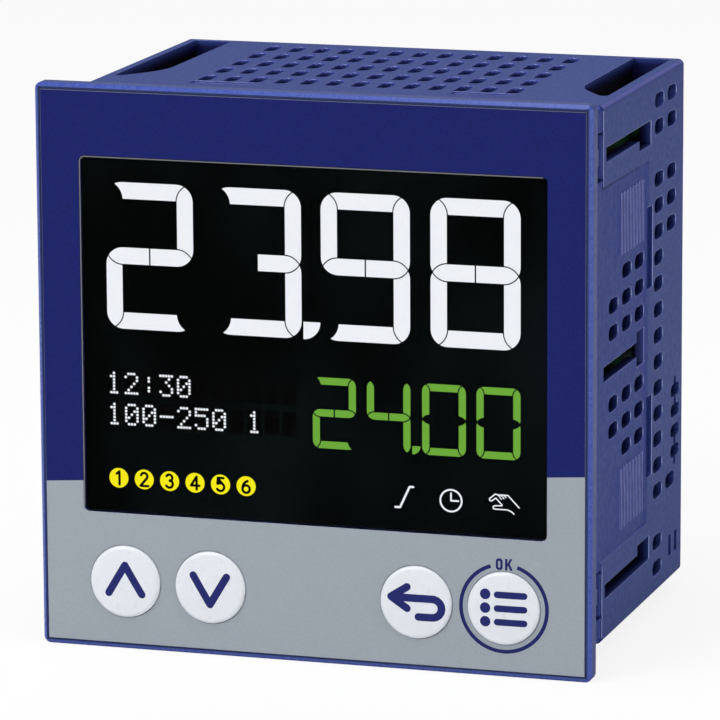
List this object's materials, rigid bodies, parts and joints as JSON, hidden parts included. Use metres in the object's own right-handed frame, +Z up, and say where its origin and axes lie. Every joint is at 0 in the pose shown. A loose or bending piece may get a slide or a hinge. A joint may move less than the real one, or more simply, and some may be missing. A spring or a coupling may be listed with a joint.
{
  "type": "panel-mounted temperature controller",
  "caption": "Square panel-mounted process temperature controller: flanged front with lit number display and sprung keys, vented sleeve behind it with clip tracks, plug terminals at the rear.",
  "frame": {"origin": "centre of the flange's back face, where the unit seats on the panel", "axes": "+X to the right seen from the front, +Y into the panel, +Z up"},
  "size_m": [0.096, 0.0712, 0.096],
  "materials": {
    "housing_plastic": "fine-grained moulded blue plastic",
    "bezel_plastic": "satin moulded blue plastic",
    "overlay_film": "satin printed film, blue above and grey below",
    "window_pane": "clear pane with a dark tint",
    "lcd_glass": "black liquid-crystal panel with lit digits",
    "light_guide": "milky light guide",
    "black_plastic": "black moulded plastic",
    "board": "green solder mask",
    "key_plastic": "white key plastic",
    "switch_plastic": "black switch body",
    "plunger_plastic": "ivory plunger",
    "relay_plastic": "pale relay cover",
    "core_ferrite": "sintered ferrite",
    "coil_tape": "yellow winding tape",
    "can_sleeve": "dark shrink sleeve on an aluminium can",
    "film_cap": "ochre boxed film capacitor",
    "terminal_plastic": "black terminal plastic"
  },
  "bodies": {
    "unit": {"housing": "housing_plastic", "front_bezel": "bezel_plastic", "front_overlay": "overlay_film", "display_window": "window_pane", "lcd_panel": "lcd_glass", "display_frame": "black_plastic", "backlight": "light_guide", "display_board": "board", "right_board": "board", "left_board": "board", "option_board": "board", "right_header": "black_plastic", "left_header": "black_plastic", "option_header": "black_plastic", "transformer_core": "core_ferrite", "transformer_coil": "coil_tape", "can_capacitor": "can_sleeve", "film_capacitor": "film_cap", "relay_1": "relay_plastic", "relay_2": "relay_plastic", "relay_3": "relay_plastic", "switch_up": "switch_plastic", "switch_down": "switch_plastic", "switch_back": "switch_plastic", "switch_menu": "switch_plastic", "terminal_strip_left": "terminal_plastic", "terminal_block_left": "terminal_plastic", "terminal_strip_centre": "terminal_plastic", "terminal_block_centre": "terminal_plastic", "terminal_strip_right": "terminal_plastic", "terminal_block_right": "terminal_plastic"},
    "up_key": {"key_up": "key_plastic", "plunger_up": "plunger_plastic"},
    "down_key": {"key_down": "key_plastic", "plunger_down": "plunger_plastic"},
    "back_key": {"key_back": "key_plastic", "plunger_back": "plunger_plastic"},
    "menu_key": {"key_menu": "key_plastic", "plunger_menu": "plunger_plastic"}
  },
  "joints": [
    {"name": "up_press", "type": "slide", "parent": "unit", "child": "up_key", "axis": [0, 1, 0], "range_m": [0, 0.0008], "stiffness_N_per_m": 1500, "springref_m": -0.001},
    {"name": "down_press", "type": "slide", "parent": "unit", "child": "down_key", "axis": [0, 1, 0], "range_m": [0, 0.0008], "stiffness_N_per_m": 1500, "springref_m": -0.001},
    {"name": "back_press", "type": "slide", "parent": "unit", "child": "back_key", "axis": [0, 1, 0], "range_m": [0, 0.0008], "stiffness_N_per_m": 1500, "springref_m": -0.001},
    {"name": "menu_press", "type": "slide", "parent": "unit", "child": "menu_key", "axis": [0, 1, 0], "range_m": [0, 0.0008], "stiffness_N_per_m": 1500, "springref_m": -0.001}
  ]
}
